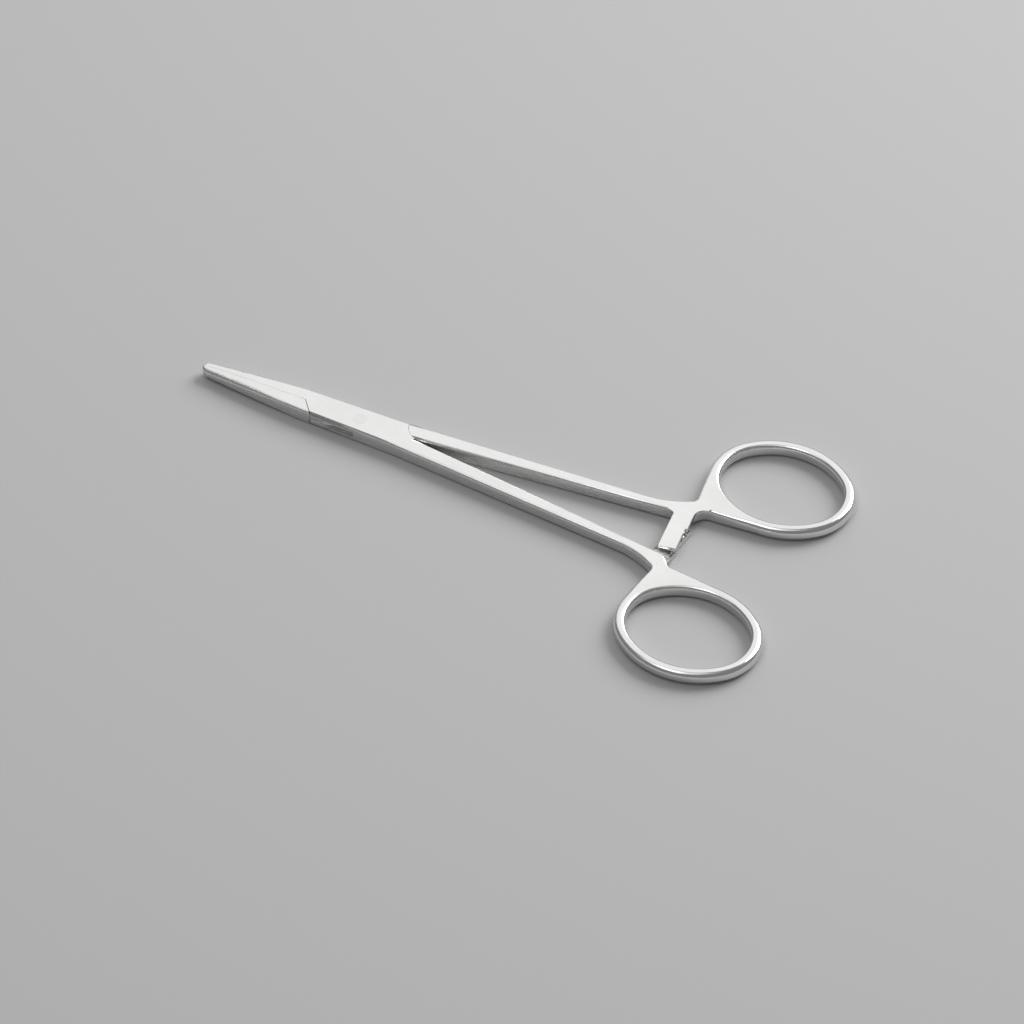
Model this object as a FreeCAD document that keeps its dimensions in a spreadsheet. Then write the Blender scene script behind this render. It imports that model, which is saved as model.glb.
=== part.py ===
"""Straight box-lock haemostatic forceps, closed, 140 mm long.

Frame: the origin is on the pivot axis in the plane of the underside, +X runs towards the finger
rings, +Z is up. The far side is +Y and the near side is -Y. Lengths are in millimetres and
angles in degrees.

Three pieces make the instrument: a box half, whose box is slotted through, a through half, whose
thin waist passes through that slot, and the rivet that the two turn on.
"""

import FreeCAD
import Part
import math
import os

import Sketcher

SIZES = {
    # box lock
    "thickness": 3.5,
    "box_front": 13.4,
    "box_rear": 9.9,
    "box_front_half_width": 3.1,
    "box_rear_half_width": 3.6,
    "cheek": 1.1,
    "slot_clearance": 0.05,
    "slot_side_clearance": 0.075,
    "waist_half_width": 1.75,
    "waist_angle": 8.0,
    "open_angle": 52.0,
    "step_tip": 12.8,
    "step_heel": 10.1,
    "step_gap": 0.12,
    "step_heel_gap": 0.24,
    "strip_lap": 0.78,
    "crotch": 12.6,
    "root_radius": 4.6,
    "closing_gap": 0.04,
    # rivet
    "pin_radius": 1.0,
    "pin_head_radius": 1.45,
    "pin_head_depth": 0.5,
    "pin_fit": 0.01,
    "bore_clearance": 0.05,
    # jaws
    "jaw_reach": 37.3,
    "jaw_middle": 22.0,
    "jaw_fore": 30.0,
    "jaw_middle_width": 2.57,
    "jaw_fore_width": 1.97,
    "jaw_tip_width": 1.3,
    "jaw_middle_depth": 3.3,
    "jaw_fore_depth": 2.9,
    "jaw_tip_depth": 2.2,
    "jaw_middle_round": 0.85,
    "jaw_fore_round": 0.95,
    "jaw_tip_round": 0.85,
    "nose_radius": 1.25,
    "nose_side_radius": 1.02,
    "serration_pitch": 0.8,
    "serration_depth": 0.3,
    # shanks
    "shank_outer_angle": 4.05,
    "shank_inner_angle": 5.8,
    "edge_round": 0.6,
    "handle_thickness": 3.0,
    "taper_start": 16.0,
    "taper_end": 60.0,
    "flare_angle": 28.0,
    "flare_radius": 21.0,
    "flare_run": 5.5,
    "notch_back": 13.95,
    "notch_radius": 1.3,
    "neck_angle": 3.5,
    "heel_along": 76.2,
    "heel_radius": 1.5,
    "heel_rise": 2.25,
    # finger rings
    "ring_along": 87.25,
    "ring_across": 22.5,
    "ring_half_length": 15.8,
    "ring_half_width": 13.0,
    "ring_end_radius": 11.2,
    "ring_band": 2.4,
    "finger_hole_bevel": 0.8,
    # ratchet
    "arm_along": 73.5,
    "arm_lean": 6.5,
    "arm_half_width": 1.85,
    "arm_reach": 4.1,
    "arm_plate": 0.95,
    "arm_left_flare": 2.0,
    "arm_right_flare": 2.3,
    "arm_root_lap": 1.2,
    "tooth_count": 5,
    "tooth_pitch": 1.75,
    "tooth_land": 0.15,
    "tooth_clearance": 0.06,
}

FAR = 1
NEAR = -1

QUARTER_TURN = 90
HALF_TURN = 180
FULL_TURN = 360

# A face counts as a wall or as level by the upward part of its unit normal
WALL_NORMAL = 0.1
LEVEL_NORMAL = 0.9

# How closely an edge's place has to agree, and the smallest volume that counts as a cut
PLACE_TOLERANCE = 0.05
SMALLEST_CUT = 1e-6


class Size:
    """A number together with the sheet formula that gives it, so one expression does both."""

    def __init__(self, value, formula):
        self.value = value
        self.formula = formula

    def joined(self, other, sign, value):
        return Size(value, "(%s %s %s)" % (self.formula, sign, other.formula))

    def __add__(self, other):
        other = as_size(other)
        return self.joined(other, "+", self.value + other.value)

    def __sub__(self, other):
        other = as_size(other)
        return self.joined(other, "-", self.value - other.value)

    def __mul__(self, other):
        other = as_size(other)
        return self.joined(other, "*", self.value * other.value)

    def __truediv__(self, other):
        other = as_size(other)
        return self.joined(other, "/", self.value / other.value)

    def __radd__(self, other):
        return as_size(other) + self

    def __rsub__(self, other):
        return as_size(other) - self

    def __rmul__(self, other):
        return as_size(other) * self

    def __neg__(self):
        return as_size(-1) * self


def as_size(number):
    """Plain numbers stand for themselves."""
    if isinstance(number, Size):
        return number
    return Size(float(number), "%g" % number)


def sine(angle):
    angle = as_size(angle)
    return Size(math.sin(math.radians(angle.value)), "sin(%s)" % angle.formula)


def cosine(angle):
    angle = as_size(angle)
    return Size(math.cos(math.radians(angle.value)), "cos(%s)" % angle.formula)


def tangent(angle):
    return sine(angle) / cosine(angle)


def square_root(number):
    return Size(math.sqrt(number.value), "sqrt(%s)" % number.formula)


def arc_sine(ratio):
    return Size(math.degrees(math.asin(ratio.value)), "(asin(%s) / 1 deg)" % ratio.formula)


def arc_tangent(ratio):
    return Size(math.degrees(math.atan(ratio.value)), "(atan(%s) / 1 deg)" % ratio.formula)


def whole(number):
    return Size(round(number.value), "round(%s)" % number.formula)


def make_sheet(doc):
    """The driving dimensions, each a plain number with an alias."""
    sheet = doc.addObject("Spreadsheet::Sheet", "Sizes")
    for row, (alias, number) in enumerate(SIZES.items(), start=1):
        sheet.set("A%d" % row, alias.replace("_", " "))
        sheet.set("B%d" % row, str(number))
        sheet.setAlias("B%d" % row, alias)
    doc.recompute()
    return sheet


doc = FreeCAD.newDocument("forceps")
sheet = make_sheet(doc)


def size(alias):
    return Size(float(getattr(sheet, alias)), "Sizes." + alias)


def bind(feature, prop, amount):
    feature.setExpression(prop, as_size(amount).formula)


# Values that several features share

thickness = size("thickness")
middle = thickness / 2
through = thickness * 4
half_closing_gap = size("closing_gap") / 2
jaw_reach = size("jaw_reach")
edge_round = size("edge_round")
box_slope = (size("box_rear_half_width") - size("box_front_half_width")) / (
    size("box_rear") + size("box_front"))


def box_half_width(along):
    """Half the width of the closed instrument at a place along the box."""
    return size("box_front_half_width") + (along + size("box_front")) * box_slope


class Outline:
    """A closed outline: its corners in order, each with the radius of the edge that leaves it."""

    def __init__(self):
        self.corners = []

    def to(self, x, y, radius=None, turn=1):
        """Add a corner. With a radius, an arc leaves it, turning left (1) or right (-1)."""
        self.corners.append((as_size(x), as_size(y), radius, turn))
        return self

    def round_corner(self, x, y, angle_in, angle_out, radius, turn):
        """Add the two ends of the arc that rounds a corner between two directions."""
        half_turn = (angle_out - angle_in) * turn / 2
        run = radius * tangent(half_turn)
        self.to(x - run * cosine(angle_in), y - run * sine(angle_in), radius, turn)
        return self.to(x + run * cosine(angle_out), y + run * sine(angle_out))

    def mirrored(self, side):
        """The same outline, or for the near side its mirror image."""
        if side == FAR:
            return self
        other = Outline()
        for index in reversed(range(len(self.corners))):
            x, y, _, _ = self.corners[index]
            _, _, radius, turn = self.corners[index - 1]
            other.to(x, -y, radius, turn)
        return other


def arc_between(start, end, radius, turn):
    """The short arc from start to end that turns left or right, and whether it is reversed."""
    chord = end - start
    height = math.sqrt(max(radius * radius - chord.Length * chord.Length / 4, 0.0))
    side = FreeCAD.Vector(-chord.y, chord.x, 0).normalize()
    centre = start + chord * 0.5 + side * (height * turn)
    circle = Part.Circle(centre, FreeCAD.Vector(0, 0, 1), radius)
    first = math.atan2(start.y - centre.y, start.x - centre.x)
    last = math.atan2(end.y - centre.y, end.x - centre.x)
    if turn < 0:
        first, last = last, first
    if last < first:
        last += 2 * math.pi
    return Part.ArcOfCircle(circle, first, last), turn < 0


def draw(sketch, outline):
    """Draw an outline into a sketch, with every corner and radius bound to the sheet."""
    corners = outline.corners
    points = [FreeCAD.Vector(x.value, y.value, 0) for x, y, _, _ in corners]
    ends = []
    for index, (_, _, radius, turn) in enumerate(corners):
        start = points[index]
        end = points[(index + 1) % len(corners)]
        if radius is None:
            edge = sketch.addGeometry(Part.LineSegment(start, end))
            ends.append((edge, 1, 2))
            continue
        arc, reversed_arc = arc_between(start, end, as_size(radius).value, turn)
        edge = sketch.addGeometry(arc)
        ends.append((edge, 2, 1) if reversed_arc else (edge, 1, 2))
        constraint = sketch.addConstraint(Sketcher.Constraint("Radius", edge, as_size(radius).value))
        bind(sketch, "Constraints[%d]" % constraint, radius)
    for index, (x, y, _, _) in enumerate(corners):
        edge, first, _ = ends[index]
        before, _, last = ends[index - 1]
        sketch.addConstraint(Sketcher.Constraint("Coincident", before, last, edge, first))
        for kind, amount in (("DistanceX", x), ("DistanceY", y)):
            constraint = sketch.addConstraint(
                Sketcher.Constraint(kind, -1, 1, edge, first, amount.value))
            bind(sketch, "Constraints[%d]" % constraint, amount)


def new_sketch(body, name, plane, outlines, lift=None, lean=None):
    """A sketch on one of the body's own origin planes, lifted along the plane's normal."""
    sketch = body.newObject("Sketcher::SketchObject", name)
    support = [item for item in body.Origin.OriginFeatures if item.Role == plane][0]
    sketch.AttachmentSupport = [(support, "")]
    sketch.MapMode = "FlatFace"
    if lean is not None:
        sketch.AttachmentOffset = FreeCAD.Placement(
            FreeCAD.Vector(0, 0, 0), FreeCAD.Rotation(FreeCAD.Vector(0, 1, 0), as_size(lean).value))
        bind(sketch, "AttachmentOffset.Rotation.Angle", lean)
    if lift is not None:
        bind(sketch, "AttachmentOffset.Base.z", lift)
    for outline in outlines:
        draw(sketch, outline)
    return sketch


def new_feature(body, kind, name, sketch, length, both_ways=False):
    """A pad or pocket of a sketch."""
    feature = body.newObject("PartDesign::" + kind, name)
    feature.Profile = sketch
    bind(feature, "Length", length)
    if both_ways:
        feature.Midplane = True
    doc.recompute()
    return feature


def pad(body, name, plane, outlines, length, lift=None, lean=None, both_ways=False):
    sketch = new_sketch(body, name + "_sketch", plane, outlines, lift, lean)
    return new_feature(body, "Pad", name, sketch, length, both_ways)


def pocket(body, name, plane, outlines, length, lift=None, both_ways=True):
    """A pocket that has to take something away."""
    before = body.Shape.Volume
    sketch = new_sketch(body, name + "_sketch", plane, outlines, lift)
    feature = new_feature(body, "Pocket", name, sketch, length, both_ways)
    if body.Shape.Volume > before - SMALLEST_CUT:
        raise RuntimeError(name + " cut nothing")
    return feature


# The ring and shank that both halves have

ring_x = size("ring_along")
ring_y = size("ring_across")


class Oval:
    """An oval of four arcs: two round ends along X and two flatter sides."""

    def __init__(self, inset):
        self.half_length = size("ring_half_length") - inset
        self.half_width = size("ring_half_width") - inset
        self.end_radius = size("ring_end_radius") - inset
        length, width, end = self.half_length, self.half_width, self.end_radius
        self.side_radius = (length * length + width * width - 2 * length * end) / (
            2 * (width - end))
        self.end_offset = length - end
        self.side_offset = self.side_radius - width
        reach = self.side_radius / (self.side_radius - end)
        self.join_x = self.end_offset * reach
        self.join_y = self.side_offset * reach - self.side_offset

    def join(self, outline, along, across, radius):
        """The place where an end arc and a side arc meet, with the arc that leaves it."""
        outline.to(ring_x + self.join_x * along, ring_y + self.join_y * across, radius)


def finger_hole(side):
    oval = Oval(size("ring_band"))
    outline = Outline()
    oval.join(outline, 1, -1, oval.end_radius)
    oval.join(outline, 1, 1, oval.side_radius)
    oval.join(outline, -1, 1, oval.end_radius)
    oval.join(outline, -1, -1, oval.side_radius)
    return outline.mirrored(side)


def meeting_point(x, y, angle, other_x, other_y, other_angle):
    """Where two lines meet, each given by a point and a direction."""
    run = ((other_x - x) * sine(other_angle) - (other_y - y) * cosine(other_angle)) / (
        sine(other_angle - angle))
    return x + run * cosine(angle), y + run * sine(angle)


def inner_edge(along):
    """Distance of a shank's inner edge from the middle line."""
    return half_closing_gap + (along - size("crotch")) * tangent(size("shank_inner_angle"))


def handle_outline(outline, side):
    """Shank, neck and ring from the crotch round to the outer corner at the rear of the box."""
    oval = Oval(as_size(0))
    inner = size("shank_inner_angle")
    outer = size("shank_outer_angle")
    neck = size("neck_angle")
    flare = size("flare_angle")
    heel_radius = size("heel_radius")
    # the neck runs straight into the ring's flatter side
    touch_x = ring_x + oval.side_radius * sine(neck)
    touch_y = ring_y + oval.side_offset - oval.side_radius * cosine(neck)
    heel_x = size("heel_along")
    heel_y = touch_y - (touch_x - heel_x) * tangent(neck)
    toe_x = heel_x - size("heel_rise")
    toe_y = inner_edge(toe_x)
    rise = arc_tangent((heel_y - toe_y) / (heel_x - toe_x))
    outline.round_corner(toe_x, toe_y, inner, rise, heel_radius, 1)
    outline.round_corner(heel_x, heel_y, rise, neck, heel_radius, -1)
    outline.to(touch_x, touch_y, oval.side_radius)
    oval.join(outline, 1, -1, oval.end_radius)
    oval.join(outline, 1, 1, oval.side_radius)
    oval.join(outline, -1, 1, oval.end_radius)
    # the shank bends out to the notch, and the ring's front leaves its end arc straight for it
    notch_x = ring_x - size("notch_back")
    bend_x = notch_x - size("flare_run")
    bend_y = size("box_rear_half_width") + (bend_x - size("box_rear")) * tangent(outer)
    notch_y = bend_y + size("flare_run") * tangent(flare)
    run_x = ring_x - oval.end_offset - notch_x
    run_y = ring_y - notch_y
    distance = square_root(run_x * run_x + run_y * run_y)
    front = arc_tangent(run_y / run_x) + arc_sine(oval.end_radius / distance)
    outline.to(ring_x - oval.end_offset - oval.end_radius * sine(front),
               ring_y + oval.end_radius * cosine(front))
    flare_back = flare + HALF_TURN
    outline.round_corner(notch_x, notch_y, front + HALF_TURN, flare_back,
                         size("notch_radius"), -1)
    outline.round_corner(bend_x, bend_y, flare_back, outer + HALF_TURN, size("flare_radius"), -1)
    return outline


def rear_corner(gap):
    """The outer end of the notch at the rear of the box, on the far side."""
    along = size("box_rear") + gap
    return along, size("box_rear_half_width") + gap * tangent(size("shank_outer_angle"))


def near_side_outline():
    """Plan of the box half's near side: the near strip of the box, the shank and the ring."""
    lap = size("strip_lap")
    back = size("crotch") - lap * 2
    outline = Outline()
    outline.to(-size("step_tip"), half_closing_gap)
    outline.to(-size("step_heel"), -box_half_width(-size("step_heel")))
    outline.to(size("box_rear"), -size("box_rear_half_width"))
    outline.corners += handle_outline(Outline(), FAR).mirrored(NEAR).corners
    outline.to(back, -inner_edge(back))
    outline.to(back, lap)
    outline.to(-size("step_tip"), lap)
    return outline


def far_side_outline():
    """Plan of the rest of the box, lapping over the inner rim of the near strip."""
    lap = size("strip_lap")
    front = -size("box_front")
    step_run = (size("step_tip") - size("step_heel")) / box_half_width(-size("step_heel"))
    outline = Outline()
    outline.to(front, half_closing_gap)
    outline.to(-size("step_tip"), half_closing_gap)
    outline.to(-size("step_tip") + step_run * lap, -lap)
    outline.to(size("crotch"), -lap)
    outline.to(size("crotch"), -half_closing_gap, size("root_radius"), -1)
    outline.to(*rear_corner(as_size(0)))
    outline.to(front, size("box_front_half_width"))
    return outline


def far_shank_outline():
    """Plan of the through half's shank and ring, before its round root is cut."""
    back = size("box_rear") - size("edge_round")
    outline = Outline()
    outline.to(back, inner_edge(back))
    handle_outline(outline, FAR)
    outline.to(back, size("box_rear_half_width") + (back - size("box_rear")) * tangent(
        size("shank_outer_angle")))
    return outline


def shank_root_outline():
    """Plan of what is cut away in front of the far shank's round root."""
    gap = size("step_gap")
    front = size("box_rear") - size("edge_round") * 2
    beyond = size("box_rear_half_width") + edge_round
    root = size("crotch") + gap
    corner_x, corner_y = rear_corner(gap)
    outline = Outline()
    outline.to(front, -beyond)
    outline.to(root, -beyond)
    outline.to(root, inner_edge(root), size("root_radius"), -1)
    outline.to(corner_x, corner_y)
    outline.to(corner_x, beyond)
    outline.to(front, beyond)
    return outline


def through_jaw_outline():
    """Plan of the root of the through half's jaw, in front of the box's cheeks."""
    outline = Outline()
    gap = size("step_gap")
    front = -size("box_front")
    outline.to(front, -half_closing_gap)
    outline.to(front, -size("box_front_half_width"))
    heel = -size("step_heel") - size("step_heel_gap")
    outline.to(heel, -box_half_width(heel))
    outline.to(-size("step_tip") - gap, -half_closing_gap)
    return outline


def waist_outline():
    """Plan of the thin waist: a straight band with both ends inside the full-depth roots."""
    angle = size("waist_angle")
    rise = size("waist_half_width") / cosine(angle)
    end = size("box_front") - half_closing_gap
    side = size("box_front_half_width") - size("closing_gap") * 2
    bend = (side - rise) / tangent(angle)
    outline = Outline()
    for sign in (1, -1):
        outline.to(-end * sign, (rise - end * tangent(angle)) * sign)
        outline.to(-end * sign, -side * sign)
        outline.to(-bend * sign, -side * sign)
    return outline


def slot_outline():
    """Plan of the slot: the band that the waist sweeps as the instrument opens."""
    angle = size("waist_angle")
    opened = angle + size("open_angle")
    half_width = size("waist_half_width") + size("slot_side_clearance")
    apex = half_width / cosine(size("open_angle") / 2)
    apex_angle = angle + size("open_angle") / 2
    apex_x = -apex * sine(apex_angle)
    apex_y = apex * cosine(apex_angle)
    end = size("box_front")
    side = size("box_rear_half_width") + edge_round
    outline = Outline()
    for sign in (1, -1):
        outline.to(-end * sign, (half_width / cosine(angle) - end * tangent(angle)) * sign)
        outline.to(-end * sign, -side * sign)
        outline.to((-apex_x - (side - apex_y) / tangent(opened)) * sign, -side * sign)
        outline.to(-apex_x * sign, -apex_y * sign)
    return outline


def taper_outlines():
    """Side view of what is taken off above and below, so that the shanks thin to the rings."""
    drop = (thickness - size("handle_thickness")) / 2
    start = size("taper_start")
    end = ring_x + size("ring_half_length") * 2
    outlines = []
    for level, sign in ((thickness, 1), (as_size(0), -1)):
        outline = Outline()
        outline.to(start, level)
        outline.to(size("taper_end"), level - drop * sign)
        outline.to(end, level - drop * sign)
        outline.to(end, level + drop * sign)
        outline.to(start, level + drop * sign)
        outlines.append(outline)
    return outlines


# Edges are picked by where they lie and by the faces that meet there

def faces_meet_as_rim(shape, edge):
    """True where a wall meets the top or the underside."""
    faces = shape.ancestorsOfType(edge, Part.Face)
    if len(faces) != 2:
        return False
    place = edge.valueAt((edge.FirstParameter + edge.LastParameter) / 2)
    tilts = []
    for face in faces:
        u, v = face.Surface.parameter(place)
        tilts.append(abs(face.normalAt(u, v).z))
    return min(tilts) < WALL_NORMAL and max(tilts) > LEVEL_NORMAL


def rim_edges(feature, wanted):
    """Names of the rim edges whose middle satisfies a test on its place."""
    names = []
    for number, edge in enumerate(feature.Shape.Edges, start=1):
        place = edge.valueAt((edge.FirstParameter + edge.LastParameter) / 2)
        if wanted(place) and faces_meet_as_rim(feature.Shape, edge):
            names.append("Edge%d" % number)
    return names


def fillet(body, name, wanted, radius):
    """Round the rim edges of the body's last feature that pass a test."""
    base = body.Tip
    feature = body.newObject("PartDesign::Fillet", name)
    feature.Base = (base, rim_edges(base, wanted))
    bind(feature, "Radius", radius)
    doc.recompute()
    return feature


def bevel(body, name, wanted, width):
    """Bevel the rim edges of the body's last feature that pass a test."""
    base = body.Tip
    feature = body.newObject("PartDesign::Chamfer", name)
    feature.Base = (base, rim_edges(base, wanted))
    bind(feature, "Size", width)
    doc.recompute()
    return feature


def in_finger_hole(place):
    """Inside the oval that runs along the middle of the ring's band."""
    band = size("ring_band") / 2
    across = (abs(place.y) - ring_y.value) / (size("ring_half_width") - band).value
    along = (place.x - ring_x.value) / (size("ring_half_length") - band).value
    return along * along + across * across < 1


def on_box_side(place):
    """On an outer side of the box or of a jaw's root."""
    on_side = abs(place.y) > box_half_width(as_size(place.x)).value - PLACE_TOLERANCE
    return on_side and place.x < size("box_rear").value


def on_handle_side(place):
    """On the outside of a shank, neck or ring, or on a shank's inner edge."""
    if place.x < size("box_rear").value:
        return on_box_side(place)
    on_root_end = place.x < size("crotch").value and abs(place.y) < box_half_width(
        size("box_rear")).value - PLACE_TOLERANCE
    return not in_finger_hole(place) and not on_root_end


# Jaws

def jaw_section(width, depth, corner, side):
    """Section of one jaw, looking along X: flat closing face, round outer corners."""
    offset = (size("serration_depth") - size("closing_gap")) / 2
    top = middle + depth / 2
    bottom = middle - depth / 2
    outline = Outline()
    outline.to(-offset * side, bottom)
    outline.to((width - corner) * side, bottom, corner, side)
    outline.to(width * side, bottom + corner)
    outline.to(width * side, top - corner, corner, side)
    outline.to((width - corner) * side, top)
    outline.to(-offset * side, top)
    return outline


def jaw(body, prefix, side):
    """A jaw lofted through four sections, with a rounded nose."""
    stations = (
        (size("box_front"), size("box_front_half_width"), thickness, edge_round),
        (size("jaw_middle"), size("jaw_middle_width"), size("jaw_middle_depth"),
         size("jaw_middle_round")),
        (size("jaw_fore"), size("jaw_fore_width"), size("jaw_fore_depth"),
         size("jaw_fore_round")),
        (jaw_reach, size("jaw_tip_width"), size("jaw_tip_depth"), size("jaw_tip_round")),
    )
    sketches = []
    for number, (along, width, depth, corner) in enumerate(stations, start=1):
        section = jaw_section(width, depth, corner, side)
        name = "%s_section_%d" % (prefix, number)
        sketches.append(new_sketch(body, name, "YZ_Plane", [section], lift=-along))
    loft = body.newObject("PartDesign::AdditiveLoft", prefix)
    loft.Profile = sketches[0]
    loft.Sections = sketches[1:]
    doc.recompute()
    return loft


def nose_outline(side):
    """Plan of what is taken off to round the nose."""
    radius = size("nose_radius")
    width = size("jaw_tip_width")
    beyond = jaw_reach + radius
    outline = Outline()
    outline.to(-jaw_reach, width - radius)
    outline.to(-jaw_reach, -width)
    outline.to(-beyond, -width)
    outline.to(-beyond, width * 2)
    outline.to(-jaw_reach + radius, width * 2)
    outline.to(-jaw_reach + radius, width, radius, 1)
    return outline.mirrored(side)


def nose_side_outlines():
    """Side view of what is taken off to round the nose."""
    radius = size("nose_side_radius")
    half_depth = size("jaw_tip_depth") / 2
    beyond = jaw_reach + radius
    outlines = []
    for sign in (1, -1):
        outline = Outline()
        outline.to(-jaw_reach, middle + (half_depth - radius) * sign)
        outline.to(-beyond, middle + (half_depth - radius) * sign)
        outline.to(-beyond, middle + half_depth * 2 * sign)
        outline.to(-jaw_reach + radius, middle + half_depth * 2 * sign)
        outline.to(-jaw_reach + radius, middle + half_depth * sign, radius, sign)
        outlines.append(outline)
    return outlines


def serrations(body, prefix, side):
    """Grooves across the closing face; each half's ridges lie in the other's grooves."""
    pitch = size("serration_pitch")
    depth = size("serration_depth")
    gap = size("closing_gap")
    root = -(depth - gap) / 2
    shift = pitch / 2 if side == FAR else as_size(0)
    centre = -size("box_front") - shift
    outline = Outline()
    outline.to(centre - pitch / 2, root)
    outline.to(centre, root + depth)
    outline.to(centre + pitch / 2, root)
    lower = root - depth
    outline.to(centre + pitch / 2, lower)
    outline.to(centre - pitch / 2, lower)
    groove = pocket(body, prefix + "_groove", "XY_Plane", [outline.mirrored(side)], through)
    count = whole((jaw_reach - size("box_front")) / pitch + 1)
    pattern = body.newObject("PartDesign::LinearPattern", prefix + "_serrations")
    pattern.Originals = [groove]
    axis = [item for item in body.Origin.OriginFeatures if item.Role == "X_Axis"][0]
    pattern.Direction = (axis, [""])
    pattern.Reversed = True
    bind(pattern, "Occurrences", count)
    bind(pattern, "Length", pitch * (count - 1))
    body.Tip = pattern
    doc.recompute()
    return pattern


# Ratchet

def arm_profile(side):
    """Side view of a ratchet arm along its own length, with its teeth.

    It is drawn for the far half, whose arm is the upper one with its teeth on the underside.
    The near half's arm is the same turned half a turn.
    """
    pitch = size("tooth_pitch")
    land = size("tooth_land")
    reach = size("arm_reach")
    top = size("handle_thickness") / 2
    plate = top - size("arm_plate")
    tip = size("tooth_clearance") / 2
    root = inner_edge(size("arm_along")) + size("arm_plate")
    outline = Outline()
    outline.to(root * side, middle + top * side)
    outline.to(-reach * side, middle + top * side)
    outline.to(-reach * side, middle + plate * side)
    for number in range(1, round(size("tooth_count").value) + 1):
        ridge = -reach + pitch * number
        outline.to((ridge - land) * side, middle + tip * side)
        outline.to(ridge * side, middle + tip * side)
        outline.to(ridge * side, middle + plate * side)
    outline.to(root * side, middle + plate * side)
    return outline


def arm_root_outline(side):
    """Plan of the round fillets where an arm leaves its shank."""
    lean = size("arm_lean")
    half_width = size("arm_half_width") / cosine(lean)
    left = size("arm_left_flare")
    right = size("arm_right_flare")
    inner = size("shank_inner_angle")
    neck = size("neck_angle")
    axis_x = size("arm_along")
    down = lean - QUARTER_TURN
    bottom = inner_edge(axis_x) - left * 2
    left_x, left_y = meeting_point(size("crotch"), half_closing_gap, inner,
                                   axis_x - half_width, as_size(0), down)
    oval = Oval(as_size(0))
    touch_x = ring_x + oval.side_radius * sine(neck)
    touch_y = ring_y + oval.side_offset - oval.side_radius * cosine(neck)
    right_x, right_y = meeting_point(touch_x, touch_y, neck,
                                     axis_x + half_width, as_size(0), down)
    lap = size("arm_root_lap")
    outline = Outline()
    outline.round_corner(left_x, left_y, inner, down, left, -1)
    outline.to(axis_x - half_width - bottom * tangent(lean), bottom)
    outline.to(axis_x + half_width - bottom * tangent(lean), bottom)
    outline.round_corner(right_x, right_y, down + HALF_TURN, neck, right, -1)
    outline.to(right_x + right + lap / 2, right_y + lap)
    outline.to(left_x - left, left_y + lap)
    return outline.mirrored(side)


def ratchet_arm(body, prefix, side):
    """The arm and its root, flush with the top on the far half and the underside on the near."""
    width = size("arm_half_width") * 2
    lean = size("arm_lean") * side
    pad(body, prefix, "YZ_Plane", [arm_profile(side)], width,
        lift=size("arm_along") * cosine(size("arm_lean")), lean=lean, both_ways=True)
    plate = size("arm_plate")
    level = middle + (size("handle_thickness") - plate) / 2 * side
    return pad(body, prefix + "_root", "XY_Plane", [arm_root_outline(side)], plate,
               lift=level, both_ways=True)


# Pieces

def new_body(name):
    body = doc.addObject("PartDesign::Body", name)
    body.Label = name
    return body


def pin_profile(extra):
    """Half section of the rivet, or with a clearance of its hole."""
    radius = size("pin_radius") + extra
    head = size("pin_head_radius") + extra
    depth = size("pin_head_depth")
    outline = Outline()
    outline.to(0, 0)
    outline.to(head, 0)
    outline.to(radius, depth)
    outline.to(radius, thickness - depth)
    outline.to(head, thickness)
    outline.to(0, thickness)
    return outline


def make_handle(body, prefix, outline, side):
    """Shank and ring, with the rims rounded."""
    pad(body, prefix + "_plan", "XY_Plane", [outline], thickness)
    pocket(body, prefix + "_finger_hole", "XY_Plane", [finger_hole(side)], through)
    pocket(body, prefix + "_taper", "XZ_Plane", taper_outlines(), ring_y * 4)
    bevel(body, prefix + "_hole_bevel", in_finger_hole, size("finger_hole_bevel"))
    fillet(body, prefix + "_outer_round", on_handle_side, edge_round)


def make_jaw(body, prefix, side):
    """A jaw with its rounded nose."""
    jaw(body, prefix + "_jaw", side)
    pocket(body, prefix + "_nose", "XY_Plane", [nose_outline(side)], through)
    pocket(body, prefix + "_nose_side", "XZ_Plane", nose_side_outlines(), through)


def make_box_half():
    """Far jaw, slotted box, near shank and ring, and the lower ratchet arm."""
    body = new_body("box_half")
    make_handle(body, "near", near_side_outline(), NEAR)
    pad(body, "box_far_side", "XY_Plane", [far_side_outline()], thickness)
    fillet(body, "box_far_round", lambda place: place.y > 1 and on_box_side(place), edge_round)
    make_jaw(body, "far", FAR)
    slot_height = thickness - size("cheek") * 2
    pocket(body, "slot", "XY_Plane", [slot_outline()], slot_height, lift=middle)
    sketch = new_sketch(body, "rivet_hole_sketch", "XZ_Plane", [pin_profile(size("pin_fit"))])
    groove = body.newObject("PartDesign::Groove", "rivet_hole")
    groove.Profile = sketch
    groove.ReferenceAxis = (sketch, ["V_Axis"])
    groove.Angle = FULL_TURN
    doc.recompute()
    ratchet_arm(body, "lower_arm", NEAR)
    serrations(body, "far_jaw", FAR)
    return body


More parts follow.
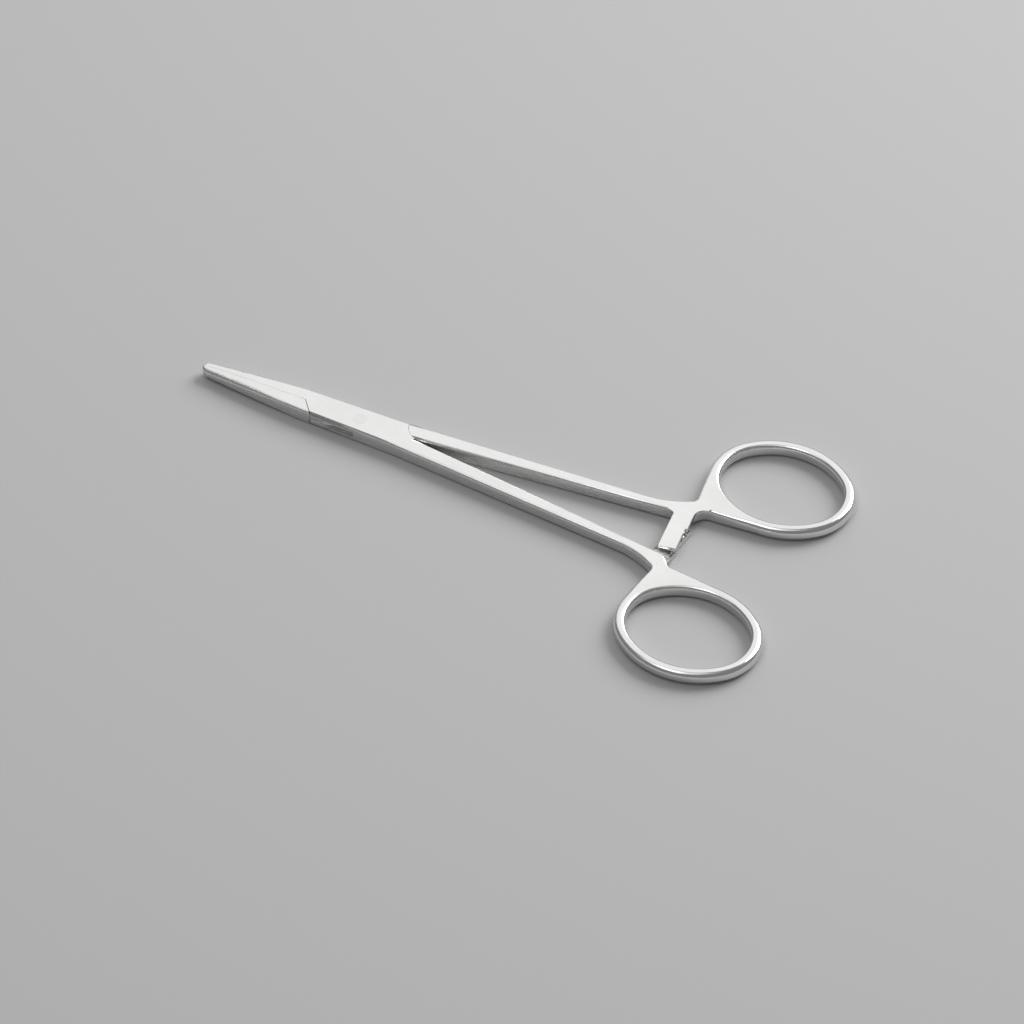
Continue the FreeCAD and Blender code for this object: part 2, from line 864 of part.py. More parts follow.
def make_through_half():
    """Near jaw, thin waist, far shank and ring, and the upper ratchet arm."""
    body = new_body("through_half")
    make_handle(body, "far", far_shank_outline(), FAR)
    pocket(body, "shank_root", "XY_Plane", [shank_root_outline()], through)
    waist_height = thickness - size("cheek") * 2 - size("slot_clearance") * 2
    pad(body, "waist", "XY_Plane", [waist_outline()], waist_height, lift=middle, both_ways=True)
    pad(body, "jaw_root", "XY_Plane", [through_jaw_outline()], thickness)
    fillet(body, "jaw_root_round", lambda place: place.x < 0 and on_box_side(place), edge_round)
    make_jaw(body, "near", NEAR)
    bore = new_sketch(body, "bore_sketch", "XY_Plane", [])
    radius = size("pin_radius") + size("bore_clearance")
    circle = bore.addGeometry(Part.Circle(FreeCAD.Vector(), FreeCAD.Vector(0, 0, 1), radius.value))
    bore.addConstraint(Sketcher.Constraint("Coincident", circle, 3, -1, 1))
    constraint = bore.addConstraint(Sketcher.Constraint("Radius", circle, radius.value))
    bind(bore, "Constraints[%d]" % constraint, radius)
    new_feature(body, "Pocket", "bore", bore, through, both_ways=True)
    ratchet_arm(body, "upper_arm", FAR)
    serrations(body, "near_jaw", NEAR)
    return body


def make_pivot_pin():
    """The rivet, peened into a countersink in each cheek and ground flush."""
    body = new_body("pivot_pin")
    sketch = new_sketch(body, "pivot_pin_sketch", "XZ_Plane", [pin_profile(as_size(0))])
    turned = body.newObject("PartDesign::Revolution", "pivot_pin_turned")
    turned.Profile = sketch
    turned.ReferenceAxis = (sketch, ["V_Axis"])
    turned.Angle = FULL_TURN
    doc.recompute()
    return body


def check_document():
    """Stop with the names of any objects that failed."""
    failed = [item.Name for item in doc.Objects
              if "Invalid" in item.State or "Error" in item.State]
    if failed:
        raise RuntimeError("these objects failed: " + ", ".join(failed))


def write_parts(bodies):
    os.makedirs("parts", exist_ok=True)
    for body in bodies:
        shape = body.Shape
        if shape.isNull() or not shape.isValid() or len(shape.Solids) != 1:
            raise RuntimeError(body.Label + " isn't one valid solid")
        shape.exportStep("parts/%s.step" % body.Label)
        print(body.Label, "volume %.1f mm3" % shape.Volume, "faces", len(shape.Faces))


pieces = [make_box_half(), make_through_half(), make_pivot_pin()]
doc.recompute()
check_document()
write_parts(pieces)
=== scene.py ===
"""Finish of a straight box-lock haemostatic forceps, and the stage that it is shown on.

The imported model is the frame: metres, the origin on the pivot axis in the plane of the underside,
+X towards the finger rings, +Z up. Each half is a finished copy of its CAD solid, with the round
section that the finger rings get on the polishing wheel, and it replaces that solid.
"""

import math

import bmesh
import bpy
from mathutils import Matrix, Vector
from mathutils.kdtree import KDTree


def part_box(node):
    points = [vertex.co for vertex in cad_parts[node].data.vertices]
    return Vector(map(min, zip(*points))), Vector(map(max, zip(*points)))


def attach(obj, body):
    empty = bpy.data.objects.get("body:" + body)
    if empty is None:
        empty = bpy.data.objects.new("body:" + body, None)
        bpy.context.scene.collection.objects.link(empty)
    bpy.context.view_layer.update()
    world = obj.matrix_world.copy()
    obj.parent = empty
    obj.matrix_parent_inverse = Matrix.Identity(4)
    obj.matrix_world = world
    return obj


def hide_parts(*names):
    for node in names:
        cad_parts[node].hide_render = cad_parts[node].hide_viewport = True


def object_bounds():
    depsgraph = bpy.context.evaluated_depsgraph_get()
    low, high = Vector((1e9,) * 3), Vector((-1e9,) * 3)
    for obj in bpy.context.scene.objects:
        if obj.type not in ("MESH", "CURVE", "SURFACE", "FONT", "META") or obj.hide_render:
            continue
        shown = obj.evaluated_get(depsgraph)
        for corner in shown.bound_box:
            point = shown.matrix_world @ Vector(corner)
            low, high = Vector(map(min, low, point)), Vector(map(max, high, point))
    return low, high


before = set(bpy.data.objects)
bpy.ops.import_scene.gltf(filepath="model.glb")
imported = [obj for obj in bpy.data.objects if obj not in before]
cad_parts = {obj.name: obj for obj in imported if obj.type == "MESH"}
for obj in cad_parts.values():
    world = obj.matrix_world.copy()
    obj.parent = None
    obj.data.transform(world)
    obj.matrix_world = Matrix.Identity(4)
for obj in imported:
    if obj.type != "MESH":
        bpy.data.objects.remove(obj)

bl_info = {
    "name": "Haemostatic forceps",
    "version": (1, 0, 0),
    "blender": (4, 5, 0),
    "location": "3D View > Sidebar > Forceps",
    "description": "Finishes the two halves and the rivet of a forceps and sets its stage",
    "category": "Object",
}

MILLIMETRE = 0.001
QUARTER_TURN = math.pi / 2

# Vertices nearer to each other than this are one
MERGE_DISTANCE = 0.0005 * MILLIMETRE

# Faces that turn less than the first against each other become one face, and an edge where they
# turn more than the second is sharp
FLAT_ANGLE = math.radians(0.3)
SHARP_ANGLE = math.radians(32)

# A face is level when its normal's Z is the first or more, and upright when it is less than the
# second
LEVEL = 0.9999
UPRIGHT = 0.01

# The full weight of the larger faces in the weighted normals
NORMAL_WEIGHT = 100

NEAR = -1
FAR = 1

# The neck where a shank joins its ring: its place from the ring's centre, and how far from it
# the rims start and stop changing from the shank's form to the ring's
NECK_ALONG = 12.25 * MILLIMETRE
NECK_ACROSS = 13.8 * MILLIMETRE
NOTCH_ACROSS = 11.1 * MILLIMETRE
NECK_START = 3 * MILLIMETRE
NECK_END = 13 * MILLIMETRE
NECK_CUTS = 12

# The rounded rims: how far from its nominal depth the foot of a rim may lie and how deep a rim's
# vertex may lie, both as shares of its radius
RIM_SLACK = 0.1
RIM_REACH = 1.01

# The walls that give a rim's vertex its direction: how many, and a distance that keeps the
# nearest one from counting without limit
NEAREST_WALLS = 4
NEAREST_DISTANCE = 0.05 * MILLIMETRE

# The Z of the normal of a bevel round a finger hole lies between these
BEVEL_LOW = 0.5
BEVEL_HIGH = 0.9

# The quarter round of the finger holes: its steps, and how much of the bevel's width it takes,
# which leaves a sliver of flat to join it to
HOLE_STEPS = 7
HOLE_REACH = 0.96

# The round nose of the jaws
NOSE_LENGTH = 1.5 * MILLIMETRE
NOSE_STEPS = 8

# The satin's uneven sheen, from dark to bright
SHEEN_SCALE = 160
SHEEN_STRETCH = (1, 1, 1)
SHEEN_DETAIL = 3
SHEEN_DARK = 0.93
SHEEN_BRIGHT = 1.05

# The grinding marks, drawn out along X: what they add to the roughness and take from it, and how
# strong their relief is on the satin and on the polish
MARKS_SCALE = 900
MARKS_STRETCH = (0.12, 2.2, 2.2)
MARKS_DETAIL = 4
MARKS_ROUGHNESS = 0.07
SATIN_RELIEF = 1.0
POLISH_RELIEF = 0.2

# The rings that grinding leaves on the rivet's head
HEAD_RINGS_SCALE = 900
HEAD_RINGS_DISTORTION = 0.8
HEAD_SMOOTH = 0.24
HEAD_ROUGH = 0.36

# The floor, in metres, and its finish
FLOOR_HALF_WIDTH = 3
FLOOR_ROUGHNESS = 0.85
FLOOR_SPECULAR = 0.1

# The lamps: place and width in metres
KEY_LAMP = ((0.45, 0.85, 0.7), 0.75)
FILL_LAMP = ((-0.42, 0.84, 0.87), 1.6)
OVERHEAD_LAMP = ((-0.12, -0.3, 1.1), 0.85)
GLINT_LAMP = ((-0.15, -0.38, 1.1), 0.3)

# The camera: sensor in millimetres, range of sight in metres
SENSOR_WIDTH = 36
CLIP_START = 0.1
CLIP_END = 10

# The frame's own sizes, read before anything is added
frame_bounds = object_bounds()
half_box = {NEAR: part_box("box_half"), FAR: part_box("through_half")}


# Settings

class FORCEPS_PG_steel(bpy.types.PropertyGroup):
    """Form and finish of the steel."""

    satin_colour: bpy.props.FloatVectorProperty(
        name="Satin colour", description="Colour of the satin steel",
        subtype="COLOR", size=3, min=0, max=1, default=(0.79, 0.785, 0.78))
    satin_roughness: bpy.props.FloatProperty(
        name="Satin roughness", description="Roughness of the jaws, box and shanks",
        min=0, max=1, default=0.28)
    polish_roughness: bpy.props.FloatProperty(
        name="Polish roughness", description="Roughness of the polished finger rings",
        min=0, max=1, default=0.19)
    polish_start: bpy.props.FloatProperty(
        name="Polish start", description="Distance from the pivot where the satin starts to fade",
        subtype="DISTANCE", unit="LENGTH", default=72 * MILLIMETRE)
    polish_end: bpy.props.FloatProperty(
        name="Polish end", description="Distance from the pivot where the full polish starts",
        subtype="DISTANCE", unit="LENGTH", default=84 * MILLIMETRE)
    grain_depth: bpy.props.FloatProperty(
        name="Grain depth", description="Depth of the grinding marks along the shanks",
        subtype="DISTANCE", unit="LENGTH", min=0, default=0.002 * MILLIMETRE)
    rivet_colour: bpy.props.FloatVectorProperty(
        name="Rivet colour", description="Colour of the rivet's ground heads",
        subtype="COLOR", size=3, min=0, max=1, default=(0.74, 0.735, 0.73))
    edge_round: bpy.props.FloatProperty(
        name="Edge round", description="Radius of the rounded rims in the CAD model",
        subtype="DISTANCE", unit="LENGTH", min=0, default=0.6 * MILLIMETRE)
    ring_round: bpy.props.FloatProperty(
        name="Ring round", description="Radius of the finger rings' outer rims after polishing",
        subtype="DISTANCE", unit="LENGTH", min=0, default=1.15 * MILLIMETRE)
    ring_thickness: bpy.props.FloatProperty(
        name="Ring thickness", description="Depth of the finger rings from top to underside",
        subtype="DISTANCE", unit="LENGTH", min=0, default=3.0 * MILLIMETRE)
    ring_half_length: bpy.props.FloatProperty(
        name="Ring half length", description="Half the outer length of a finger ring",
        subtype="DISTANCE", unit="LENGTH", min=0, default=15.8 * MILLIMETRE)
    ring_half_width: bpy.props.FloatProperty(
        name="Ring half width", description="Half the outer width of a finger ring",
        subtype="DISTANCE", unit="LENGTH", min=0, default=13.0 * MILLIMETRE)
    ring_band: bpy.props.FloatProperty(
        name="Ring band", description="Width of the finger ring's band, seen from above",
        subtype="DISTANCE", unit="LENGTH", min=0, default=2.4 * MILLIMETRE)
    hole_bevel: bpy.props.FloatProperty(
        name="Hole bevel", description="Width and depth of the bevel round the finger hole",
        subtype="DISTANCE", unit="LENGTH", min=0, default=0.8 * MILLIMETRE)


class FORCEPS_PG_stage(bpy.types.PropertyGroup):
    """Floor, light and camera."""

    floor_colour: bpy.props.FloatVectorProperty(
        name="Floor colour", description="Colour of the floor",
        subtype="COLOR", size=3, min=0, max=1, default=(0.47, 0.47, 0.47))
    key_strength: bpy.props.FloatProperty(
        name="Key light", description="Power of the soft lamp that casts the shadows",
        subtype="POWER", min=0, default=12.5)
    fill_strength: bpy.props.FloatProperty(
        name="Fill light", description="Power of the large lamp that the flat tops reflect",
        subtype="POWER", min=0, default=6.3)
    overhead_strength: bpy.props.FloatProperty(
        name="Overhead light", description="Power of the soft lamp that the rounded rims reflect",
        subtype="POWER", min=0, default=1.6)
    glint_strength: bpy.props.FloatProperty(
        name="Glint light", description="Power of the small lamp that the polished rings reflect",
        subtype="POWER", min=0, default=0.9)
    world_strength: bpy.props.FloatProperty(
        name="Surround light", description="Strength of the even light from all round",
        min=0, default=0.22)
    azimuth: bpy.props.FloatProperty(
        name="Azimuth", description="Direction that the camera looks from, round the object",
        subtype="ANGLE", unit="ROTATION", default=math.radians(26.58))
    elevation: bpy.props.FloatProperty(
        name="Elevation", description="Height of the camera above the horizon",
        subtype="ANGLE", unit="ROTATION", default=math.radians(46.51))
    distance: bpy.props.FloatProperty(
        name="Distance", description="Distance from the camera to the point it looks at",
        subtype="DISTANCE", unit="LENGTH", default=1.669)
    lens: bpy.props.FloatProperty(
        name="Lens", description="Focal length of the camera",
        subtype="DISTANCE_CAMERA", default=281.1)
    aim: bpy.props.FloatVectorProperty(
        name="Aim", description="Point that the camera looks at",
        subtype="TRANSLATION", unit="LENGTH", size=3, default=(0.037048, -0.002717, -0.004883))


# Materials

def new_material(name):
    """An empty node material with its shader and output."""
    material = bpy.data.materials.new(name)
    material.use_nodes = True
    nodes = material.node_tree.nodes
    nodes.clear()
    shader = nodes.new("ShaderNodeBsdfPrincipled")
    output = nodes.new("ShaderNodeOutputMaterial")
    material.node_tree.links.new(shader.outputs["BSDF"], output.inputs["Surface"])
    return material, shader


def add_noise(material, scale, stretch, detail):
    """Noise over the object, stretched along each axis."""
    nodes = material.node_tree.nodes
    links = material.node_tree.links
    place = nodes.new("ShaderNodeTexCoord")
    mapping = nodes.new("ShaderNodeMapping")
    mapping.inputs["Scale"].default_value = stretch
    noise = nodes.new("ShaderNodeTexNoise")
    noise.inputs["Scale"].default_value = scale
    noise.inputs["Detail"].default_value = detail
    links.new(place.outputs["Object"], mapping.inputs["Vector"])
    links.new(mapping.outputs["Vector"], noise.inputs["Vector"])
    return noise.outputs["Fac"]


def add_range(material, value, low, high):
    """Map a value from 0..1 to a range."""
    node = material.node_tree.nodes.new("ShaderNodeMapRange")
    node.inputs["To Min"].default_value = low
    node.inputs["To Max"].default_value = high
    material.node_tree.links.new(value, node.inputs["Value"])
    return node.outputs["Result"]


def satin_steel():
    """Satin stainless steel: fine grinding marks along the length, faint uneven sheen."""
    settings = bpy.context.scene.forceps_steel
    material, shader = new_material("satin_stainless")
    nodes = material.node_tree.nodes
    links = material.node_tree.links
    shader.inputs["Metallic"].default_value = 1.0
    sheen = add_noise(material, SHEEN_SCALE, SHEEN_STRETCH, SHEEN_DETAIL)
    tint = nodes.new("ShaderNodeMix")
    tint.data_type = "RGBA"
    colour = Vector(settings.satin_colour)
    tint.inputs["A"].default_value = (*(colour * SHEEN_DARK), 1)
    tint.inputs["B"].default_value = (*(colour * SHEEN_BRIGHT), 1)
    links.new(sheen, tint.inputs["Factor"])
    links.new(tint.outputs["Result"], shader.inputs["Base Color"])
    marks = add_noise(material, MARKS_SCALE, MARKS_STRETCH, MARKS_DETAIL)
    rough = settings.satin_roughness
    satin = add_range(material, marks, rough - MARKS_ROUGHNESS, rough + MARKS_ROUGHNESS)
    place = nodes.new("ShaderNodeTexCoord")
    parts = nodes.new("ShaderNodeSeparateXYZ")
    links.new(place.outputs["Object"], parts.inputs["Vector"])
    polish = nodes.new("ShaderNodeMapRange")
    polish.inputs["From Min"].default_value = settings.polish_start
    polish.inputs["From Max"].default_value = settings.polish_end
    links.new(parts.outputs["X"], polish.inputs["Value"])
    blend = nodes.new("ShaderNodeMix")
    links.new(polish.outputs["Result"], blend.inputs["Factor"])
    links.new(satin, blend.inputs["A"])
    blend.inputs["B"].default_value = settings.polish_roughness
    links.new(blend.outputs["Result"], shader.inputs["Roughness"])
    bump = nodes.new("ShaderNodeBump")
    relief = add_range(material, polish.outputs["Result"], SATIN_RELIEF, POLISH_RELIEF)
    links.new(relief, bump.inputs["Strength"])
    bump.inputs["Distance"].default_value = settings.grain_depth
    links.new(marks, bump.inputs["Height"])
    links.new(bump.outputs["Normal"], shader.inputs["Normal"])
    return material


def rivet_steel():
    """The rivet's ground head: fine rings round its axis."""
    settings = bpy.context.scene.forceps_steel
    material, shader = new_material("rivet_stainless")
    nodes = material.node_tree.nodes
    links = material.node_tree.links
    shader.inputs["Metallic"].default_value = 1.0
    shader.inputs["Base Color"].default_value = (*settings.rivet_colour, 1)
    place = nodes.new("ShaderNodeTexCoord")
    rings = nodes.new("ShaderNodeTexWave")
    rings.wave_type = "RINGS"
    rings.rings_direction = "Z"
    rings.inputs["Scale"].default_value = HEAD_RINGS_SCALE
    rings.inputs["Distortion"].default_value = HEAD_RINGS_DISTORTION
    links.new(place.outputs["Object"], rings.inputs["Vector"])
    rough = add_range(material, rings.outputs["Fac"], HEAD_SMOOTH, HEAD_ROUGH)
    links.new(rough, shader.inputs["Roughness"])
    return material


# Forms

def merged_copy(node):
    """A bmesh of a CAD node's shape with its triangles joined up and level faces made whole."""
    form = bmesh.new()
    form.from_mesh(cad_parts[node].data)
    bmesh.ops.remove_doubles(form, verts=form.verts, dist=MERGE_DISTANCE)
    bmesh.ops.dissolve_limit(form, angle_limit=FLAT_ANGLE, verts=form.verts,
                             edges=form.edges, delimit={"NORMAL"})
    form.normal_update()
    return form


def smooth_step(value, low, high):
    """0 below low, 1 above high and a smooth rise between them."""
    part = min(max((value - low) / (high - low), 0.0), 1.0)
    return part * part * (3 - 2 * part)


class Ring:
    """Where a half's finger ring lies, from the corners of its CAD solid."""

    def __init__(self, side, settings):
        low, high = half_box[side]
        reach = high.y if side == FAR else -low.y
        self.settings = settings
        self.side = side
        self.middle = (low.z + high.z) / 2
        self.along = high.x - settings.ring_half_length
        self.across = reach - settings.ring_half_width

    def place(self, point):
        """A point's place from the ring's centre, along X and away from the middle line."""
        return point.x - self.along, abs(point.y) - self.across

    def in_hole(self, point):
        """Inside the oval along the middle of the band."""
        inset = self.settings.ring_band / 2
        along, across = self.place(point)
        along /= self.settings.ring_half_length - inset
        across /= self.settings.ring_half_width - inset
        return along * along + across * across < 1

    def share(self, point):
        """How far the rim at a point has changed from the shank's form to the ring's."""
        along, across = self.place(point)
        on_ring = across > -NECK_ACROSS and (along > -NECK_ALONG or across > -NOTCH_ACROSS)
        if not on_ring or self.in_hole(point):
            return 0.0
        distance = math.hypot(along + NECK_ALONG, across + NOTCH_ACROSS)
        return smooth_step(distance, NECK_START, NECK_END)


def cut_rims(form, ring):
    """Cut the straight rims of the neck into short pieces, so that they can change form evenly."""
    step = NECK_END / NECK_CUTS
    for number in range(1, NECK_CUTS + 1):
        along = ring.along - step * number
        across = ring.side * (ring.across - step * number)
        for place, normal in (((along, 0, 0), (1, 0, 0)), ((0, across, 0), (0, 1, 0))):
            faces = [face for face in form.faces
                     if abs(face.normal.z) < LEVEL
                     and not ring.in_hole(face.calc_center_median())
                     and any(max(ring.place(vert.co)) < 0 for vert in face.verts)]
            edges = {edge for face in faces for edge in face.edges}
            verts = {vert for face in faces for vert in face.verts}
            bmesh.ops.bisect_plane(form, geom=[*verts, *edges, *faces],
                                   dist=MERGE_DISTANCE, plane_co=place, plane_no=normal)
    form.normal_update()


def wall_directions(form, ring, settings):
    """The directions that the walls face along their rims, by place seen from above."""
    half_depth = settings.ring_thickness / 2
    walls = []
    for vert in form.verts:
        upright = [face.normal for face in vert.link_faces if abs(face.normal.z) < UPRIGHT]
        drop = half_depth - abs(vert.co.z - ring.middle)
        if upright and abs(drop - settings.edge_round) < RIM_SLACK * settings.edge_round:
            walls.append((Vector((vert.co.x, vert.co.y, 0)), sum(upright, Vector()).normalized()))
    tree = KDTree(len(walls))
    for number, (place, direction) in enumerate(walls):
        tree.insert(place, number)
    tree.balance()

    def direction_at(point):
        """The mean direction of the nearest walls, the nearest one counting most."""
        total = Vector()
        for _, number, distance in tree.find_n((point.x, point.y, 0), NEAREST_WALLS):
            total += walls[number][1] / (distance + NEAREST_DISTANCE) ** 2
        return Vector((total.x, total.y, 0)).normalized()

    return direction_at


def round_ring_rims(form, ring, settings):
    """Widen the rounded outer rims along the finger ring.

    A vertex of a rounded rim lies where the rim's normal says, so a larger radius moves it along
    that normal and back from the wall and the face that the rim joins.
    """
    half_depth = settings.ring_thickness / 2
    direction_at = wall_directions(form, ring, settings)
    for vert in form.verts:
        share = ring.share(vert.co)
        height = vert.co.z - ring.middle
        drop = half_depth - abs(height)
        slanted = [face for face in vert.link_faces if abs(face.normal.z) < LEVEL]
        if share == 0 or drop > settings.edge_round * RIM_REACH or not slanted:
            continue
        wall = direction_at(vert.co)
        level = 1 - min(max(drop / settings.edge_round, 0), 1)
        outward = math.sqrt(1 - level * level)
        growth = (settings.ring_round - settings.edge_round) * share
        vert.co += wall * (outward - 1) * growth
        vert.co.z -= math.copysign((1 - level) * growth, height)
    form.normal_update()
    even_out(form, [face for face in form.faces
                    if UPRIGHT < abs(face.normal.z) < LEVEL
                    and ring.share(face.calc_center_median()) > 0])


def even_out(form, faces):
    """Split faces into triangles that follow their surface as smoothly as they can."""
    triangles = bmesh.ops.triangulate(form, faces=faces)["faces"]
    inside = set(triangles)
    edges = {edge for face in triangles for edge in face.edges
             if all(other in inside for other in edge.link_faces)}
    bmesh.ops.beautify_fill(form, faces=triangles, edges=list(edges), method="ANGLE")
    form.normal_update()


def join_loops(form, ring, first, second, facing):
    """Join two closed loops of vertices round a ring's centre with triangles."""
    def angle(vert):
        along, across = ring.place(vert.co)
        return math.atan2(across, along)

    loops = [sorted(loop, key=angle) for loop in (first, second)]
    places = [0, 0]
    while any(place < len(loop) for place, loop in zip(places, loops)):
        turns = [angle(loop[place]) if place < len(loop) else math.inf
                 for place, loop in zip(places, loops)]
        step = turns.index(min(turns))
        ends = [loop[place - 1] for place, loop in zip(places, loops)]
        face = form.faces.new((ends[0], ends[1], loops[step][places[step]]))
        face.normal_update()
        if face.normal.z * facing < 0:
            face.normal_flip()
        places[step] += 1


def join_columns(form, columns, neighbours):
    """Join neighbouring columns of vertices with quads."""
    for first, second in neighbours:
        for step in range(len(columns[first]) - 1):
            form.faces.new((columns[first][step], columns[second][step],
                            columns[second][step + 1], columns[first][step + 1]))


def round_finger_hole(form, ring, settings):
    """Put a quarter round in place of each bevel round the finger hole.

    Each vertex of the rim of the hole's wall gets a column of vertices that runs up to the flat.
    """
    for facing in (1, -1):
        slopes = {face for face in form.faces
                  if BEVEL_LOW < face.normal.z * facing < BEVEL_HIGH
                  and ring.in_hole(face.calc_center_median())}
        columns = {}
        neighbours = []
        level = set()
        for edge in {edge for face in slopes for edge in face.edges}:
            others = [face for face in edge.link_faces if face not in slopes]
            if not others:
                continue
            if abs(others[0].normal.z) > BEVEL_HIGH:
                level.update(edge.verts)
                continue
            loop = next(loop for loop in edge.link_loops if loop.face in slopes)
            neighbours.append((loop.vert, loop.link_loop_next.vert))
            for vert in edge.verts:
                columns.setdefault(vert, Vector()).xy += others[0].normal.xy
        bmesh.ops.delete(form, geom=list(slopes), context="FACES_ONLY")
        for vert, normal in list(columns.items()):
            out = normal.normalized() * settings.hole_bevel
            up = Vector((0, 0, facing)) * settings.hole_bevel
            columns[vert] = [vert]
            for step in range(1, HOLE_STEPS + 1):
                turn = QUARTER_TURN * step / HOLE_STEPS
                reach = (1 - math.cos(turn)) * HOLE_REACH
                columns[vert].append(
                    form.verts.new(vert.co - out * reach + up * math.sin(turn)))
        join_columns(form, columns, neighbours)
        join_loops(form, ring, [column[-1] for column in columns.values()], level, facing)
    form.normal_update()


def round_nose(form, side):
    """Build the jaw's nose anew as half an egg."""
    reach = -half_box[side][0].x
    middle = (half_box[side][0].z + half_box[side][1].z) / 2
    root = -(reach - NOSE_LENGTH)
    cut = bmesh.ops.bisect_plane(form, geom=[*form.verts, *form.edges, *form.faces],
                                 dist=MERGE_DISTANCE, plane_co=(root, 0, 0),
                                 plane_no=(-1, 0, 0), clear_outer=True)
    edges = [part for part in cut["geom_cut"] if isinstance(part, bmesh.types.BMEdge)]
    neighbours = [(edge.link_loops[0].link_loop_next.vert, edge.link_loops[0].vert)
                  for edge in edges]
    columns = {}
    for vert in {vert for edge in edges for vert in edge.verts}:
        columns[vert] = [vert]
        for step in range(1, NOSE_STEPS + 1):
            turn = QUARTER_TURN * step / NOSE_STEPS
            size = max(math.cos(turn), 0)
            columns[vert].append(form.verts.new((
                root - math.sin(turn) * NOSE_LENGTH, vert.co.y * size,
                middle + (vert.co.z - middle) * math.sqrt(size))))
    join_columns(form, columns, neighbours)
    bmesh.ops.remove_doubles(form, verts=[column[-1] for column in columns.values()],
                             dist=MERGE_DISTANCE)
    form.normal_update()


def finished_piece(form, name, material):
    """Turn a bmesh into a smooth-shaded object at the origin."""
    mesh = bpy.data.meshes.new(name)
    form.to_mesh(mesh)
    form.free()
    mesh.shade_smooth()
    mesh.set_sharp_from_angle(angle=SHARP_ANGLE)
    mesh.materials.append(material)
    piece = bpy.data.objects.new(name, mesh)
    bpy.context.scene.collection.objects.link(piece)
    weighted = piece.modifiers.new("weighted_normals", "WEIGHTED_NORMAL")
    weighted.mode = "FACE_AREA_WITH_ANGLE"
    weighted.keep_sharp = True
    weighted.weight = NORMAL_WEIGHT
    return piece


def finish_half(node, body, side):
    """Finish one half of the instrument and put it in place of its CAD solid."""
    settings = bpy.context.scene.forceps_steel
    form = merged_copy(node)
    ring = Ring(side, settings)
    round_finger_hole(form, ring, settings)
    cut_rims(form, ring)
    round_ring_rims(form, ring, settings)
    round_nose(form, side)
    piece = finished_piece(form, node + "_finish", satin_steel())
    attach(piece, body)
    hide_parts(node)


# Operators

class FORCEPS_OT_box_half(bpy.types.Operator):
    """Finish the half with the slotted box"""

    bl_idname = "forceps.box_half"
    bl_label = "Box half"

    def execute(self, context):
        finish_half("box_half", "box_half", NEAR)
        return {"FINISHED"}


class FORCEPS_OT_through_half(bpy.types.Operator):
    """Finish the half whose waist passes through the box"""

    bl_idname = "forceps.through_half"
    bl_label = "Through half"

    def execute(self, context):
        finish_half("through_half", "through_half", FAR)
        return {"FINISHED"}


class FORCEPS_OT_rivet(bpy.types.Operator):
    """Give the rivet its ground finish"""

    bl_idname = "forceps.rivet"
    bl_label = "Rivet"

    def execute(self, context):
        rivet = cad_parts["pivot_pin"]
        rivet.data.materials.clear()
        rivet.data.materials.append(rivet_steel())
        return {"FINISHED"}


def point_camera(settings):
    """A camera at the photograph's viewing angle."""
    azimuth, elevation = settings.azimuth, settings.elevation
    right = Vector((math.cos(azimuth), math.sin(azimuth), 0))
    back = Vector((math.sin(azimuth) * math.cos(elevation),
                   -math.cos(azimuth) * math.cos(elevation), math.sin(elevation)))
    up = back.cross(right)
    data = bpy.data.cameras.new("camera")
    data.lens = settings.lens
    data.sensor_width = SENSOR_WIDTH
    data.clip_start = CLIP_START
    data.clip_end = CLIP_END
    camera = bpy.data.objects.new("camera", data)
    bpy.context.scene.collection.objects.link(camera)
    turn = Matrix((right, up, back)).transposed().to_4x4()
    camera.matrix_world = Matrix.Translation(
        Vector(settings.aim) + back * settings.distance) @ turn
    bpy.context.scene.camera = camera


def add_lamp(name, place_and_width, target, power):
    """A square soft lamp aimed at a point."""
    place, width = place_and_width
    data = bpy.data.lights.new(name, "AREA")
    data.size = width
    data.energy = power
    lamp = bpy.data.objects.new(name, data)
    lamp.location = place
    lamp.rotation_mode = "QUATERNION"
    lamp.rotation_quaternion = (Vector(target) - Vector(place)).to_track_quat("-Z", "Y")
    bpy.context.scene.collection.objects.link(lamp)


def floor_material(colour):
    """A matt floor."""
    material, shader = new_material("floor")
    shader.inputs["Base Color"].default_value = (*colour, 1)
    shader.inputs["Roughness"].default_value = FLOOR_ROUGHNESS
    shader.inputs["Specular IOR Level"].default_value = FLOOR_SPECULAR
    return material


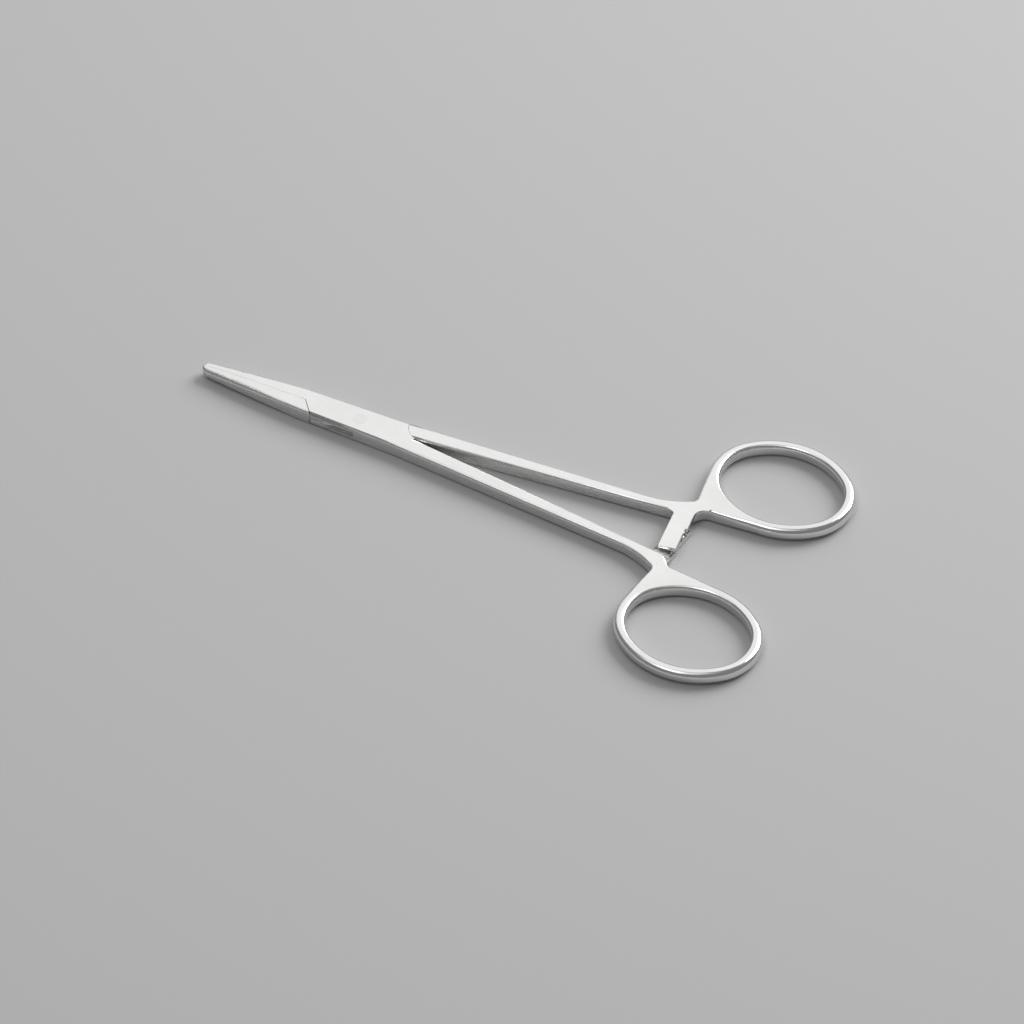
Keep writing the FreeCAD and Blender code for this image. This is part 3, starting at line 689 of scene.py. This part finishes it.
class FORCEPS_OT_stage(bpy.types.Operator):
    """Add the floor, the lights and the camera"""

    bl_idname = "forceps.stage"
    bl_label = "Stage"

    def execute(self, context):
        settings = context.scene.forceps_stage
        floor_form = bmesh.new()
        bmesh.ops.create_grid(floor_form, x_segments=1, y_segments=1, size=FLOOR_HALF_WIDTH)
        mesh = bpy.data.meshes.new("floor")
        floor_form.to_mesh(mesh)
        floor_form.free()
        mesh.materials.append(floor_material(settings.floor_colour))
        floor = bpy.data.objects.new("floor", mesh)
        floor.location.z = frame_bounds[0].z
        context.scene.collection.objects.link(floor)
        centre = (frame_bounds[0] + frame_bounds[1]) / 2
        add_lamp("key_lamp", KEY_LAMP, centre, settings.key_strength)
        add_lamp("fill_lamp", FILL_LAMP, centre, settings.fill_strength)
        add_lamp("overhead_lamp", OVERHEAD_LAMP, centre, settings.overhead_strength)
        add_lamp("glint_lamp", GLINT_LAMP, centre, settings.glint_strength)
        world = bpy.data.worlds.new("surround")
        world.use_nodes = True
        background = world.node_tree.nodes["Background"]
        background.inputs["Color"].default_value = (1, 1, 1, 1)
        background.inputs["Strength"].default_value = settings.world_strength
        context.scene.world = world
        context.scene.view_settings.view_transform = "Standard"
        point_camera(settings)
        return {"FINISHED"}


class FORCEPS_PT_panel(bpy.types.Panel):
    """Buttons for the pieces and the stage"""

    bl_label = "Forceps"
    bl_idname = "FORCEPS_PT_panel"
    bl_space_type = "VIEW_3D"
    bl_region_type = "UI"
    bl_category = "Forceps"

    def draw(self, context):
        for operator in OPERATORS:
            self.layout.operator(operator.bl_idname)


OPERATORS = (FORCEPS_OT_box_half, FORCEPS_OT_through_half, FORCEPS_OT_rivet, FORCEPS_OT_stage)
CLASSES = (FORCEPS_PG_steel, FORCEPS_PG_stage, *OPERATORS, FORCEPS_PT_panel)


def register():
    for one in CLASSES:
        bpy.utils.register_class(one)
    bpy.types.Scene.forceps_steel = bpy.props.PointerProperty(type=FORCEPS_PG_steel)
    bpy.types.Scene.forceps_stage = bpy.props.PointerProperty(type=FORCEPS_PG_stage)


def unregister():
    del bpy.types.Scene.forceps_stage
    del bpy.types.Scene.forceps_steel
    for one in reversed(CLASSES):
        bpy.utils.unregister_class(one)


def main():
    register()
    bpy.ops.forceps.stage()
    bpy.ops.forceps.box_half()
    bpy.ops.forceps.through_half()
    bpy.ops.forceps.rivet()


if __name__ == "__main__":
    main()
